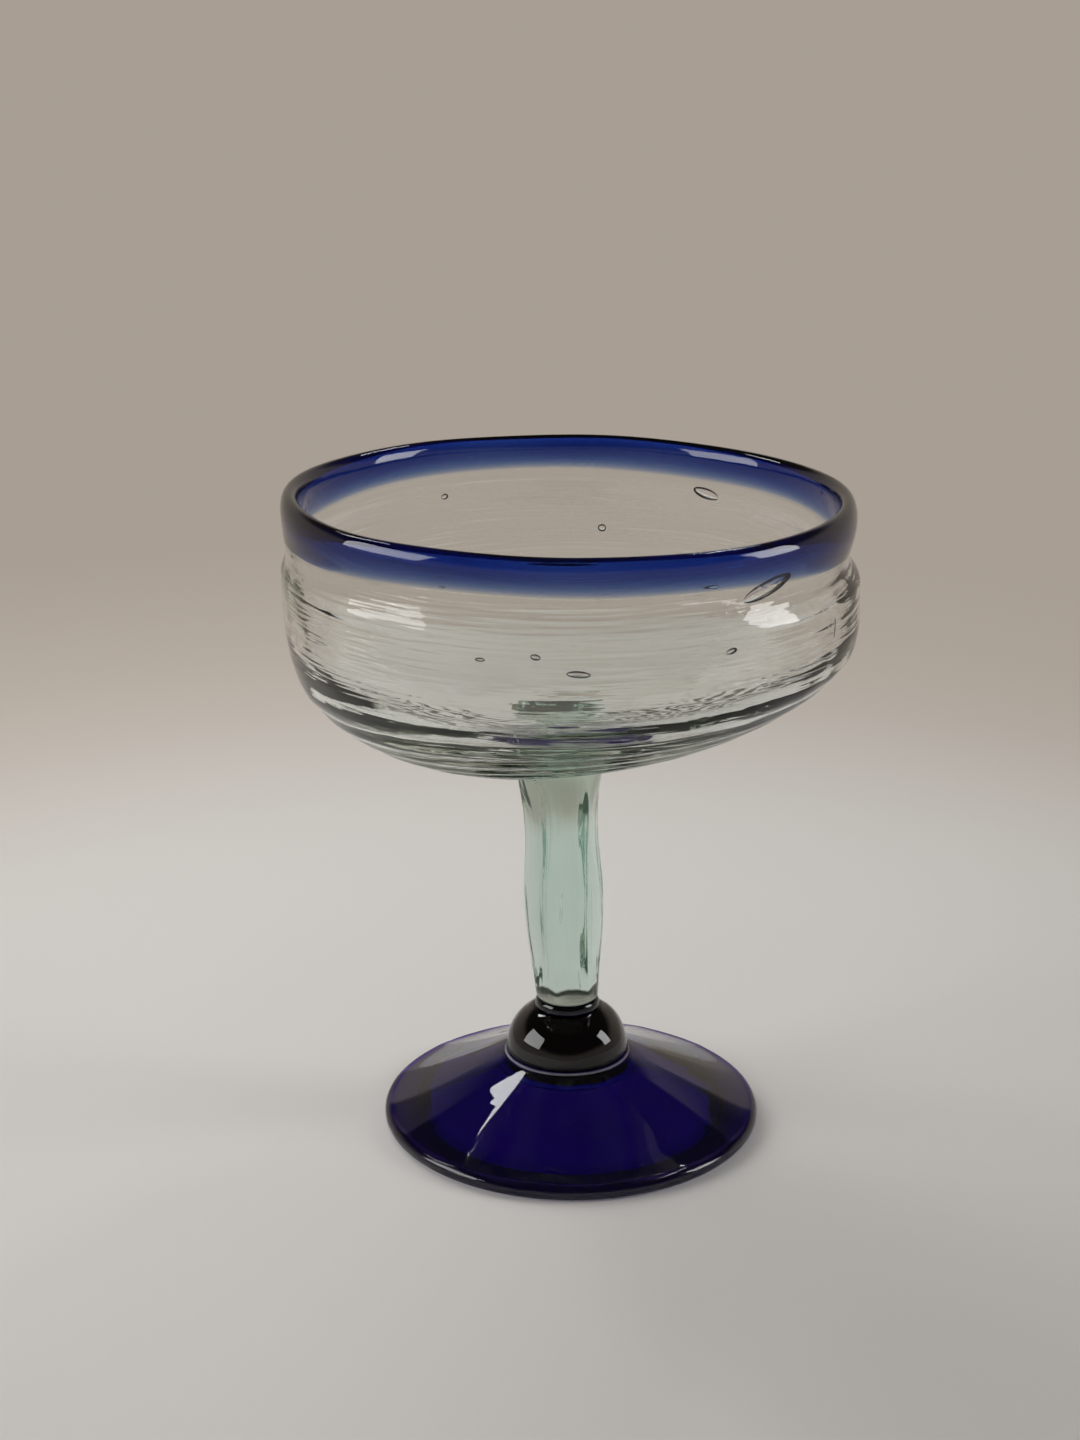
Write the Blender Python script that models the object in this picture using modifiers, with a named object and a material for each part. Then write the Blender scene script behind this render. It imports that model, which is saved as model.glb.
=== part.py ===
"""A hand-blown coupe glass: clear bowl, cobalt lip, pale faceted stem, cobalt collar, knop and foot.

The real glass is six gathers worked hot and fused end to end. Each one is a separate solid here, turned
about the upright axis and set on the one below it with a thin seat gap. The foot stands on the ground
with its centre at the origin. X runs to the right, Y to the back and Z up, and all lengths are in metres.
"""

import math

import bpy

# Fused seats, and how finely the pieces are turned
SEAT_GAP = 0.0003
MERGE_DISTANCE = 0.00001
TURN_STEPS = 48
STEM_STEPS = 36

# Foot: a hollow cone with a thick rounded edge
FOOT_RADIUS = 0.0421
FOOT_HEIGHT = 0.0156
FOOT_NECK_RADIUS = 0.0144
FOOT_WALL = 0.0045
FOOT_SWEEP = 1.12
FOOT_EDGE_WIDTH = 0.0042
FOOT_EDGE_HEIGHT = 0.0058
REST_RING_WIDTH = 0.0036
HOLLOW_SLOPE_WIDTH = 0.0020

# Knop: a domed bead of glass on the foot
KNOP_RADIUS = 0.0135
KNOP_HEIGHT = 0.0103
KNOP_BELLY_HEIGHT = 0.0014
KNOP_TUCK = 0.0005

# Collar: a thin ring of glass between knop and stem
COLLAR_RADIUS = 0.0072
COLLAR_HEIGHT = 0.0020

# Stem: a solid rod that swells, narrows and flares, pressed into soft facets
STEM_LENGTH = 0.0594
STEM_BASE_RADIUS = 0.0068
STEM_SWELL_RADIUS = 0.0090
STEM_SWELL_HEIGHT = 0.0254
STEM_WAIST_RADIUS = 0.0084
STEM_WAIST_HEIGHT = 0.0374
STEM_HEAD_RADIUS = 0.0096
STEM_FACETS = 6
STEM_FACET_SHARE = 0.75
STEM_FACET_TURN = math.radians(11.0)

# Bowl: a shallow rounded bowl with upright sides and a neck below the lip
BOWL_RADIUS = 0.0607
BOWL_DEPTH = 0.0306
BOWL_FULLNESS = 2.2
BOWL_WALL = 0.0026
BOWL_FLOOR = 0.0065
BOWL_SIDE_HEIGHT = 0.0080
NECK_RADIUS = 0.0585
NECK_HEIGHT = 0.0070
SEAT_MARGIN = 0.0006

# Lip: the thinned edge of the bowl, and the cobalt band that saddles it
LIP_HEIGHT = 0.0100
LIP_THICKNESS = 0.0016
RIM_RADIUS = 0.0601
RIM_THICKNESS = 0.0042
RIM_CROWN = 0.0046
BAND_HEIGHT = 0.0063
BAND_CROWN = 0.0028

# Freehand lean: how far the axis wanders sideways, and how the bowl and its rim tilt
KNOP_SHIFT = -0.0009
STEM_LEAN = -0.0021
BOWL_BASE_SHIFT = 0.0005
RIM_SHIFT = -0.0011
BOWL_SLANT = 0.115
RIM_SLANT = -0.010
SLANT_REACH = 0.0380
STEM_SLANT_REACH = 0.0120

# Levels of the seats, each from the piece below it
KNOP_LEVEL = FOOT_HEIGHT + SEAT_GAP
COLLAR_LEVEL = KNOP_LEVEL + KNOP_HEIGHT + SEAT_GAP
STEM_LEVEL = COLLAR_LEVEL + COLLAR_HEIGHT + SEAT_GAP
BOWL_LEVEL = STEM_LEVEL + STEM_LENGTH + SEAT_GAP

# Heights in the bowl, from its seat on the stem
NECK_START = BOWL_DEPTH + BOWL_SIDE_HEIGHT
NECK_LEVEL = NECK_START + NECK_HEIGHT
RIM_TOP = NECK_LEVEL + LIP_HEIGHT
RIM_WIDEST = RIM_TOP - RIM_CROWN
BAND_SEAT = RIM_TOP - BAND_HEIGHT
LIP_TOP = RIM_TOP - BAND_CROWN


def spread(start, end, segments):
    """Evenly spaced values from start to end, both included."""
    return [start + (end - start) * step / segments for step in range(segments + 1)]


def eased(value, start, end):
    """A smooth rise from 0 at start to 1 at end."""
    share = min(max((value - start) / (end - start), 0.0), 1.0)
    return share * share * (3.0 - 2.0 * share)


def arc(centre, radii, start, end, segments):
    """Points of an upright elliptical arc between two angles in degrees, 0 pointing outwards."""
    points = []
    for degrees in spread(start, end, segments):
        angle = math.radians(degrees)
        points.append((centre[0] + radii[0] * math.cos(angle), centre[1] + radii[1] * math.sin(angle)))
    return points


def blown_curve(radius, depth, level, start, end, segments):
    """The rounded underside of a blown bowl, below its widest level, between two angles in degrees."""
    power = 2.0 / BOWL_FULLNESS
    points = []
    for degrees in spread(start, end, segments):
        angle = math.radians(degrees)
        out = max(math.cos(angle), 0.0) ** power
        down = max(math.sin(angle), 0.0) ** power
        points.append((radius * out, level - depth * down))
    return points


def stem_line(height):
    """Sideways place of the axis of foot, knop, collar and stem at a height above the ground."""
    along_stem = min(max((height - STEM_LEVEL) / STEM_LENGTH, 0.0), 1.0)
    return KNOP_SHIFT * eased(height, FOOT_EDGE_HEIGHT, FOOT_HEIGHT) + STEM_LEAN * along_stem


def stem_slant(height):
    """Tilt of the stem's section, which turns to meet the slanted bowl at its head."""
    head = STEM_LEVEL + STEM_LENGTH
    return BOWL_SLANT * eased(height, head - STEM_SLANT_REACH, head)


def bowl_line(height):
    """Sideways place of the axis of bowl and band at a height above the ground."""
    along_bowl = (height - BOWL_LEVEL) / RIM_TOP
    return BOWL_BASE_SHIFT + (RIM_SHIFT - BOWL_BASE_SHIFT) * along_bowl


def bowl_slant(height):
    """Tilt of the bowl's section: steep at its seat, and slightly the other way from the upright side on."""
    return BOWL_SLANT + (RIM_SLANT - BOWL_SLANT) * eased(height, BOWL_LEVEL, BOWL_LEVEL + SLANT_REACH)


def turn(name, profile, level, steps=TURN_STEPS, closed=False):
    """A solid turned from a profile of (radius, height) points, standing at a level."""
    count = len(profile)
    edges = [(index, index + 1) for index in range(count - 1)]
    if closed:
        edges.append((count - 1, 0))
    outline = bpy.data.meshes.new(name + "_profile")
    outline.from_pydata([(radius, 0.0, height) for radius, height in profile], edges, [])
    blank = bpy.data.objects.new(name + "_blank", outline)
    bpy.context.scene.collection.objects.link(blank)

    screw = blank.modifiers.new("turned", "SCREW")
    screw.axis = "Z"
    screw.steps = steps
    screw.render_steps = steps
    screw.use_merge_vertices = True
    screw.merge_threshold = MERGE_DISTANCE
    evaluated = blank.evaluated_get(bpy.context.evaluated_depsgraph_get())
    mesh = bpy.data.meshes.new_from_object(evaluated)
    mesh.name = name
    bpy.data.objects.remove(blank)
    bpy.data.meshes.remove(outline)

    mesh.shade_smooth()
    mesh.set_sharp_from_angle(angle=math.radians(40.0))
    piece = bpy.data.objects.new(name, mesh)
    piece.location.z = level
    return piece


def lean(piece, line, slant):
    """Move a turned piece off true: each level goes sideways by line and tilts by slant."""
    for vertex in piece.data.vertices:
        height = piece.location.z + vertex.co.z
        vertex.co.x += line(height)
        vertex.co.z += slant(height) * vertex.co.x
    piece.data.update()


def level_section(height):
    """No tilt, for the pieces that stay level."""
    return 0.0


def press_facets(piece):
    """Press flats into a turned rod. Its corners stay as turned, and the flats between them go in."""
    facet = 2.0 * math.pi / STEM_FACETS
    flat = math.cos(facet / 2.0)
    for vertex in piece.data.vertices:
        from_flat = math.atan2(vertex.co.y, vertex.co.x) % facet - facet / 2.0
        pressed = 1.0 + STEM_FACET_SHARE * (flat / math.cos(from_flat) - 1.0)
        x = vertex.co.x * pressed
        y = vertex.co.y * pressed
        vertex.co.x = x * math.cos(STEM_FACET_TURN) - y * math.sin(STEM_FACET_TURN)
        vertex.co.y = x * math.sin(STEM_FACET_TURN) + y * math.cos(STEM_FACET_TURN)
    piece.data.update()


def glass_material(name, colour):
    """Smooth see-through glass of one colour."""
    material = bpy.data.materials.new(name)
    material.use_nodes = True
    shader = material.node_tree.nodes["Principled BSDF"]
    shader.inputs["Base Color"].default_value = (*colour, 1.0)
    shader.inputs["Metallic"].default_value = 0.0
    shader.inputs["Roughness"].default_value = 0.03
    shader.inputs["IOR"].default_value = 1.51
    shader.inputs["Transmission Weight"].default_value = 1.0
    material.diffuse_color = (*colour, 1.0)
    return material


def foot_top(radius):
    """Height of the foot's upper face at a radius."""
    reach = FOOT_RADIUS - FOOT_EDGE_WIDTH - FOOT_NECK_RADIUS
    share = (radius - FOOT_NECK_RADIUS) / reach
    return FOOT_EDGE_HEIGHT + (FOOT_HEIGHT - FOOT_EDGE_HEIGHT) * (1.0 - share) ** FOOT_SWEEP


def make_foot():
    """Hollow cone that stands on a flat ring just inside its rounded edge."""
    edge_centre = FOOT_RADIUS - FOOT_EDGE_WIDTH
    ring_inside = edge_centre - REST_RING_WIDTH
    half_edge = FOOT_EDGE_HEIGHT / 2.0
    profile = [(0.0, FOOT_HEIGHT)]
    profile += [(radius, foot_top(radius)) for radius in spread(FOOT_NECK_RADIUS, edge_centre, 7)]
    profile += arc((edge_centre, half_edge), (FOOT_EDGE_WIDTH, half_edge), 90.0, -90.0, 8)[1:]
    profile += [(ring_inside, 0.0)]
    for radius in spread(ring_inside - HOLLOW_SLOPE_WIDTH, FOOT_NECK_RADIUS, 4):
        profile.append((radius, foot_top(radius) - FOOT_WALL))
    profile += [(0.0, FOOT_HEIGHT - FOOT_WALL)]
    piece = turn("foot", profile, 0.0)
    lean(piece, stem_line, level_section)
    return piece


def make_knop():
    """Domed bead, widest just above its seat on the foot, with a flat top for the collar."""
    share = COLLAR_RADIUS / KNOP_RADIUS
    dome_height = (KNOP_HEIGHT - KNOP_BELLY_HEIGHT) / math.sqrt(1.0 - share * share)
    top_angle = math.degrees(math.acos(share))
    belly_centre = KNOP_RADIUS - KNOP_TUCK
    profile = [(0.0, KNOP_HEIGHT)]
    profile += arc((0.0, KNOP_BELLY_HEIGHT), (KNOP_RADIUS, dome_height), top_angle, 0.0, 8)
    profile += arc((belly_centre, KNOP_BELLY_HEIGHT), (KNOP_TUCK, KNOP_BELLY_HEIGHT), 0.0, -90.0, 3)[1:]
    profile += [(0.0, 0.0)]
    piece = turn("knop", profile, KNOP_LEVEL)
    lean(piece, stem_line, level_section)
    return piece


def make_collar():
    """Thin disc with a round edge."""
    half = COLLAR_HEIGHT / 2.0
    profile = [(0.0, COLLAR_HEIGHT)]
    profile += arc((COLLAR_RADIUS - half, half), (half, half), 90.0, -90.0, 6)
    profile += [(0.0, 0.0)]
    piece = turn("stem_collar", profile, COLLAR_LEVEL)
    lean(piece, stem_line, level_section)
    return piece


def stem_radius(height):
    """Radius of the stem, across its facet corners, at a height above its base."""
    if height < STEM_SWELL_HEIGHT:
        share = math.sin(math.pi / 2.0 * height / STEM_SWELL_HEIGHT)
        return STEM_BASE_RADIUS + (STEM_SWELL_RADIUS - STEM_BASE_RADIUS) * share
    if height < STEM_WAIST_HEIGHT:
        share = eased(height, STEM_SWELL_HEIGHT, STEM_WAIST_HEIGHT)
        return STEM_SWELL_RADIUS + (STEM_WAIST_RADIUS - STEM_SWELL_RADIUS) * share
    share = eased(height, STEM_WAIST_HEIGHT, STEM_LENGTH)
    return STEM_WAIST_RADIUS + (STEM_HEAD_RADIUS - STEM_WAIST_RADIUS) * share


def make_stem():
    """Solid faceted rod, leaning to one side, its head tilted to the underside of the bowl."""
    profile = [(0.0, STEM_LENGTH)]
    profile += [(stem_radius(height), height) for height in spread(STEM_LENGTH, 0.0, 16)]
    profile += [(0.0, 0.0)]
    piece = turn("stem", profile, STEM_LEVEL, steps=STEM_STEPS)
    press_facets(piece)
    lean(piece, stem_line, stem_slant)
    return piece


def lip_outside(height):
    """Outer radius of the lip between the neck and its widest level."""
    return NECK_RADIUS + (RIM_RADIUS - NECK_RADIUS) * eased(height, NECK_LEVEL, RIM_WIDEST)


def lip_inside(height):
    """Inner radius of the lip between the neck and its widest level."""
    at_neck = NECK_RADIUS - BOWL_WALL
    at_rim = RIM_RADIUS - RIM_THICKNESS
    return at_neck + (at_rim - at_neck) * eased(height, NECK_LEVEL, RIM_WIDEST)


def lip_middle():
    """Radius at the middle of the lip where the band sits on the bowl."""
    return (lip_outside(BAND_SEAT) + lip_inside(BAND_SEAT)) / 2.0


def make_bowl():
    """Blown bowl with a flat seat for the stem, and a thinned lip that stands up inside the band."""
    stem_head_shift = KNOP_SHIFT + STEM_LEAN
    seat_radius = STEM_HEAD_RADIUS + abs(BOWL_BASE_SHIFT - stem_head_shift) + SEAT_MARGIN
    seat_share = (seat_radius / BOWL_RADIUS) ** BOWL_FULLNESS
    outer_depth = BOWL_DEPTH / (1.0 - seat_share) ** (1.0 / BOWL_FULLNESS)
    seat_angle = math.degrees(math.acos(math.sqrt(seat_share)))
    inner_radius = BOWL_RADIUS - BOWL_WALL
    half_lip = LIP_THICKNESS / 2.0
    middle = lip_middle()

    profile = blown_curve(inner_radius, BOWL_DEPTH - BOWL_FLOOR, BOWL_DEPTH, 90.0, 0.0, 11)
    for height in spread(NECK_START, NECK_LEVEL, 4):
        drawn_in = eased(height, NECK_START, NECK_LEVEL)
        profile.append((inner_radius + (NECK_RADIUS - BOWL_RADIUS) * drawn_in, height))
    profile.append((lip_inside(BAND_SEAT), BAND_SEAT))
    profile.append((middle - half_lip, BAND_SEAT))
    profile += arc((middle, LIP_TOP - half_lip), (half_lip, half_lip), 180.0, 0.0, 4)
    profile.append((middle + half_lip, BAND_SEAT))
    profile += [(lip_outside(height), height) for height in spread(BAND_SEAT, NECK_LEVEL, 2)]
    for height in spread(NECK_LEVEL, NECK_START, 4)[1:]:
        drawn_in = eased(height, NECK_START, NECK_LEVEL)
        profile.append((BOWL_RADIUS + (NECK_RADIUS - BOWL_RADIUS) * drawn_in, height))
    profile += blown_curve(BOWL_RADIUS, outer_depth, BOWL_DEPTH, 0.0, seat_angle, 11)
    profile.append((0.0, 0.0))
    piece = turn("bowl", profile, BOWL_LEVEL)
    lean(piece, bowl_line, bowl_slant)
    return piece


def make_rim_band():
    """Rounded cobalt band that saddles the bowl's lip and sits on its two shoulders."""
    half_groove = LIP_THICKNESS / 2.0 + SEAT_GAP
    half_rim = RIM_THICKNESS / 2.0
    seat = BAND_SEAT + SEAT_GAP
    crown_centre = (RIM_RADIUS - half_rim, RIM_WIDEST)
    groove_centre = (lip_middle(), LIP_TOP - LIP_THICKNESS / 2.0)
    profile = arc(crown_centre, (half_rim, RIM_CROWN), 90.0, 0.0, 5)
    profile.append((lip_outside(seat), seat))
    profile.append((groove_centre[0] + half_groove, seat))
    profile += arc(groove_centre, (half_groove, half_groove), 0.0, 180.0, 4)
    profile.append((groove_centre[0] - half_groove, seat))
    profile.append((lip_inside(seat), seat))
    profile += arc(crown_centre, (half_rim, RIM_CROWN), 180.0, 90.0, 5)[:-1]
    piece = turn("rim_band", profile, BOWL_LEVEL, closed=True)
    lean(piece, bowl_line, bowl_slant)
    return piece


def main():
    for item in list(bpy.data.objects):
        bpy.data.objects.remove(item)
    collection = bpy.data.collections.new("coupe_glass")
    bpy.context.scene.collection.children.link(collection)
    base = bpy.data.objects.new("coupe_glass", None)
    collection.objects.link(base)

    cobalt = (0.012, 0.016, 0.150)
    pieces = (
        (make_foot(), glass_material("cobalt_foot_glass", cobalt)),
        (make_knop(), glass_material("cobalt_knop_glass", cobalt)),
        (make_collar(), glass_material("cobalt_collar_glass", cobalt)),
        (make_stem(), glass_material("sea_green_stem_glass", (0.55, 0.70, 0.62))),
        (make_bowl(), glass_material("clear_recycled_glass", (0.74, 0.78, 0.72))),
        (make_rim_band(), glass_material("cobalt_lip_glass", (0.015, 0.030, 0.240))),
    )
    for piece, material in pieces:
        piece.data.materials.append(material)
        collection.objects.link(piece)
        piece.parent = base


main()
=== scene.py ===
"""Hand-blown coupe glass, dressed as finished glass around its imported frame.

The bowl is clear recycled glass with a cobalt lip melted round it. The stem is pale sea-green glass, pressed
into six soft flats, and the collar, knop and foot under it are cobalt. Each operator makes one piece.
"""

import math
from typing import NamedTuple

import bmesh
import bpy
import numpy as np
from bpy.props import FloatProperty, FloatVectorProperty, IntProperty, PointerProperty
from mathutils import Matrix, Vector


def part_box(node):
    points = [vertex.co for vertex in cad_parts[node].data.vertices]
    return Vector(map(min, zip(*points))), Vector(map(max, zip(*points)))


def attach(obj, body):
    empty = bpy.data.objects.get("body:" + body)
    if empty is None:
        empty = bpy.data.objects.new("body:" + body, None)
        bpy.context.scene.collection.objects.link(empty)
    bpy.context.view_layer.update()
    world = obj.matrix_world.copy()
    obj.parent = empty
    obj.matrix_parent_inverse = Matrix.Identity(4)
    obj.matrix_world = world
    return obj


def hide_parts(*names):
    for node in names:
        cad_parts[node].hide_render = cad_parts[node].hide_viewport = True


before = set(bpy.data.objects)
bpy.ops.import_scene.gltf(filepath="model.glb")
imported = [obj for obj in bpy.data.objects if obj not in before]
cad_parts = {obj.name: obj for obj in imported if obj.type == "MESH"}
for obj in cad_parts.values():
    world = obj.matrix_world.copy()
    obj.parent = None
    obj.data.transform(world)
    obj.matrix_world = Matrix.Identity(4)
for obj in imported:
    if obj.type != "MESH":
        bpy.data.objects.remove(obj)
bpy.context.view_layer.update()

bl_info = {
    "name": "Hand-blown coupe glass",
    "version": (1, 0, 0),
    "blender": (4, 5, 0),
    "location": "3D View > Sidebar > Coupe",
    "description": "Makes the glass pieces of a coupe with a cobalt lip and foot, and a plain studio",
    "category": "Add Mesh",
}

# Which skin of the glass a point of a profile lies on
OUTSIDE, INSIDE, SEAM, CREVICE = 0, 1, 2, 3

FULL_TURN = 2.0 * math.pi

# Points round each piece and the floor, along the bowl's curves, and along each side of the lip's seam
BOWL_STEPS = 224
STEM_STEPS = 180
COLLAR_STEPS = 96
KNOP_STEPS = 128
FOOT_STEPS = 264
BUBBLE_STEPS = 24
FLOOR_STEPS = 96
CURVE_STEPS = 120
SEAM_STEPS = 12

# An edge that turns more than this stays crisp
CRISP_EDGE = math.radians(50.0)

# How much soda-lime glass bends light
GLASS_IOR = 1.51

# Calm patches in the skin of the glass: their size, and how they let its cords down to a fifth
CALM_MM = 16.0
CALM_RANGE = {"From Min": 0.38, "From Max": 0.62, "To Min": 0.20}

# Painted highlight in the joint round the knop: its dark and pale greys, and the size of their patches
JOINT_GLINT_DARK = "#3A3644"
JOINT_GLINT_PALE = "#9C98A0"
JOINT_GLINT_PATCH_MM = 2.5

# Sockets of a Mix node that take its two colours, and the one that gives their mixture
MIX_A, MIX_B, MIXED = 6, 7, 2


def linear(code):
    """Scene-linear red, green and blue of an sRGB hex colour."""
    channels = []
    for start in (1, 3, 5):
        value = int(code[start:start + 2], 16) / 255.0
        channels.append(value / 12.92 if value <= 0.04045 else ((value + 0.055) / 1.055) ** 2.4)
    return tuple(channels)


def length(name, description, default):
    """A size in metres that shows in the sidebar."""
    return FloatProperty(name=name, description=description, default=default, precision=5, unit="LENGTH")


def colour(name, description, code):
    """A colour that shows in the sidebar, from its sRGB hex value."""
    return FloatVectorProperty(name=name, description=description, default=linear(code), subtype="COLOR",
                               size=3, min=0.0, max=1.0)


def watts(name, description, default):
    """A lamp's power that shows in the sidebar."""
    return FloatProperty(name=name, description=description, default=default, min=0.0, unit="POWER")


def frame_size(node, axis):
    """Extent of a node of the frame along one axis."""
    low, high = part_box(node)
    return high[axis] - low[axis]


def frame_level(node):
    """Height of a node's lowest point in the frame."""
    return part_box(node)[0][2]


class CoupeSizes(bpy.types.PropertyGroup):
    """Sizes of the glass, taken from the frame where a node shows them."""

    seam: length("Seam", "Hair gap between two pieces that are fused", 0.00002)

    foot_radius: length("Foot radius", "Outside of the foot's rounded edge", frame_size("foot", 1) / 2.0)
    foot_height: length("Foot height", "Ground to the seat of the knop", frame_size("foot", 2))
    foot_neck_radius: length("Foot neck radius", "Top of the foot's cone", 0.0144)
    foot_wall: length("Foot wall", "Glass of the foot's cone, measured upright", 0.0045)
    foot_edge_width: length("Foot edge width", "Rounded edge of the foot, measured inwards", 0.0018)
    foot_edge_height: length("Foot edge height", "Thickness of the foot's edge", 0.0036)
    rest_ring_width: length("Resting ring width", "Flat ring that the glass stands on", 0.0072)
    foot_facets: IntProperty(name="Foot facets", description="Flats pressed into the foot", default=15, min=3)
    foot_press: length("Foot press depth", "Depth of those flats between their creases", 0.00026)
    joint_roll: length("Joint roll", "Radius of the thin roll of glass squeezed out round the knop", 0.00035)

    knop_radius: length("Knop radius", "Widest part of the knop", frame_size("knop", 1) / 2.0)
    knop_level: length("Knop level", "Height of the knop's seat", frame_level("knop"))
    knop_belly: length("Knop belly", "Height of the knop's widest level above its seat", 0.0014)
    knop_tuck: length("Knop tuck", "How far the knop draws in below its belly", 0.0005)

    collar_radius: length("Collar radius", "Widest part of the collar", frame_size("stem_collar", 1) / 2.0)
    collar_level: length("Collar level", "Height of the collar's seat", frame_level("stem_collar"))

    stem_level: length("Stem level", "Height of the stem's foot", frame_level("stem"))
    stem_length: length("Stem length", "Collar to the underside of the bowl, on the axis", 0.0594)
    stem_base_radius: length("Stem base radius", "Corners of the stem at the collar", 0.0068)
    stem_swell_radius: length("Stem swell radius", "Corners of the stem where it swells", 0.0090)
    stem_swell_height: length("Stem swell height", "Height of the swell above the collar", 0.0254)
    stem_waist_radius: length("Stem waist radius", "Corners of the stem at its waist", 0.0084)
    stem_waist_height: length("Stem waist height", "Height of the waist above the collar", 0.0374)
    stem_head_radius: length("Stem head radius", "Stem just under the bowl", 0.0096)
    stem_flare: length("Stem flare", "How far the stem's head spreads into the bowl", 0.0014)
    stem_facets: IntProperty(name="Stem facets", description="Flats pressed into the stem", default=6, min=3)

    bowl_radius: length("Bowl radius", "Outside of the bowl's side", frame_size("bowl", 1) / 2.0)
    bowl_level: length("Bowl level", "Height of the bowl's seat on its axis", 0.0889)
    bowl_depth: length("Bowl depth", "Seat of the bowl to the start of its upright side", 0.0302)
    bowl_wall: length("Bowl wall", "Glass of the bowl's side", 0.0026)
    bowl_floor: length("Bowl floor", "Glass over the stem", 0.0065)
    bowl_side: length("Bowl side", "Height of the upright side", 0.0076)
    neck_radius: length("Neck radius", "Outside of the groove under the lip", 0.0590)
    neck_height: length("Neck height", "Top of the side to the groove", 0.0072)
    tool_ring_pitch: length("Tool ring pitch", "Spacing of the tooling rings under the bowl", 0.0041)
    tool_ring_depth: length("Tool ring depth", "Height of those rings", 0.00020)

    rim_radius: length("Rim radius", "Outside of the lip at its widest", 0.0601)
    rim_thickness: length("Rim thickness", "Glass of the lip at its widest", 0.0042)
    rim_crown: length("Rim crown", "Height of the lip's round top above its widest level", 0.0034)
    lip_height: length("Lip height", "Groove to the top of the lip", 0.0102)
    band_height: length("Band height", "Cobalt of the lip, measured down from its top", 0.0078)
    band_root: length("Band root", "Cobalt over the clear glass in the middle of the lip", 0.0010)


class CoupeColours(bpy.types.PropertyGroup):
    """Colours of the glass and the stage."""

    bowl: colour("Bowl glass", "Colour of white light after the clear depth", "#DDE3DB")
    stem: colour("Stem glass", "Colour of white light after the clear depth", "#C8E2D8")
    clear_depth: length("Clear depth", "Depth of clear glass that gives its colour", 0.020)
    lip: colour("Lip glass", "Colour of white light after the cobalt depth", "#1F3B9C")
    cobalt: colour("Foot glass", "Colour of white light after the cobalt depth", "#4E1AC2")
    knop: colour("Knop and collar glass", "Colour of white light after the cobalt depth", "#1A0C94")
    cobalt_depth: length("Cobalt depth", "Depth of cobalt glass that gives its colour", 0.0035)
    floor: colour("Floor", "Floor round the glass", "#D3D1CD")
    far_floor: colour("Far floor", "Floor further out, where less light falls", "#BFB6AC")
    horizon: colour("Horizon", "Studio wall, which the floor fades into", "#A89E94")
    overhead: colour("Overhead", "Studio above the glass", "#3C3835")


class CoupeStage(bpy.types.PropertyGroup):
    """Light and camera of the stage."""

    key_light: watts("Key light", "Wide soft light on the left", 4.4)
    fill_light: watts("Fill light", "Soft light on the right", 3.1)
    back_light: watts("Back light", "Large soft light behind on the left", 7.0)
    glint_left: watts("Left glint", "Small light behind on the left, which glints on knop and foot", 0.45)
    glint_right: watts("Right glint", "Small light behind on the right, which glints on the knop", 0.4)
    under_light: watts("Under light", "Light that reaches the floor through the glass", 1.7)
    floor_radius: length("Floor radius", "Reach of the floor", 1.6)
    lens: FloatProperty(name="Lens", description="Focal length for a frame 36 mm on its long side",
                        default=60.0, min=1.0, unit="CAMERA")


# Sideways lean of the stem and the bowl, as the frame has it
KNOP_SHIFT = -0.0009
STEM_LEAN = -0.0021
BOWL_BASE_SHIFT = 0.0005
RIM_SHIFT = -0.0011

# Slope of the bowl at its seat and its rim, and how far that reaches up the bowl and down the stem
BOWL_SLANT = 0.102
RIM_SLANT = -0.010
SLANT_REACH = 0.0380
STEM_SLANT_REACH = 0.0120

# Curve of the bowl, where 2 is an ellipse, and the fuller turn at its lower side, which rises and falls again
BOWL_FULLNESS = 2.2
CHINE = 0.0005
CHINE_RISE = (0.010, 0.019)
CHINE_FALL = (0.019, 0.027)

# Tooling rings under the bowl: radii where they start, heights where they end, and how they fade to the back
RINGS_START = (0.020, 0.032)
RINGS_END = (0.020, 0.032)
RING_FADE = 0.95
RING_FADE_SPAN = (-0.60, 0.05)

# Heights below which the bowl is truly round and level, and radii over which its floor grows uneven
ROUND_BELOW = 0.016
LEVEL_BELOW = 0.030
FLOOR_CENTRE = (0.001, 0.012)
INNER_SWELL = 0.7

# Flat under the bowl: how far it passes the stem's head, its skin, and how the bowl's waves begin round it
SEAT_MARGIN = 0.0006
SEAT_SKIN = 0.0008
SEAT_SPREAD = 0.006

# Groove under the lip, and the cobalt's edge, which hangs lower at both sides and thins out
GROOVE_SHIFT = -0.0006
GROOVE_REACH = 0.003
BAND_DROOP = 0.0020
BAND_FEATHER = 0.001
EDGE_MARGIN = 0.0005
SEAM_CURVE = 0.85

# Flats of the stem: depth, where 1 is flat, turn, softness of their corners, and where they start and end
FACET_SHARE = 1.20
FACET_TURN = math.radians(11.0)
FACET_BLUR = np.radians([-3.0, -1.5, 0.0, 1.5, 3.0])
FACET_START = (0.0, 0.0100)
FACET_END = (0.0050, 0.0180)

# Side of the stem, with the cords that end below its head, its rounded base and the spread of its head
STEM_SIDE = (0.003, 0.006)
STEM_CORDS_END = (0.0010, 0.0060)
STEM_ROUND = 0.0010
FLARE_SPAN = 0.0045

# Collar's edge and crown, knop's shoulder, and how the knop's waves begin at its seat and top
COLLAR_EDGE = 0.0006
COLLAR_CROWN = 0.0009
KNOP_SHOULDER = 0.0004
KNOP_SEAT_SPAN = (0.0004, 0.0020)
KNOP_TOP_SPAN = (0.0004, 0.0012)

# Sweep of the foot's cone, where 1 is straight, slope into its hollow, and turn and start of its flats
FOOT_SWEEP = 1.12
HOLLOW_SLOPE = 0.0020
FOOT_TURN = math.radians(18.0)
FOOT_NECK_SPAN = 0.008


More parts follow.
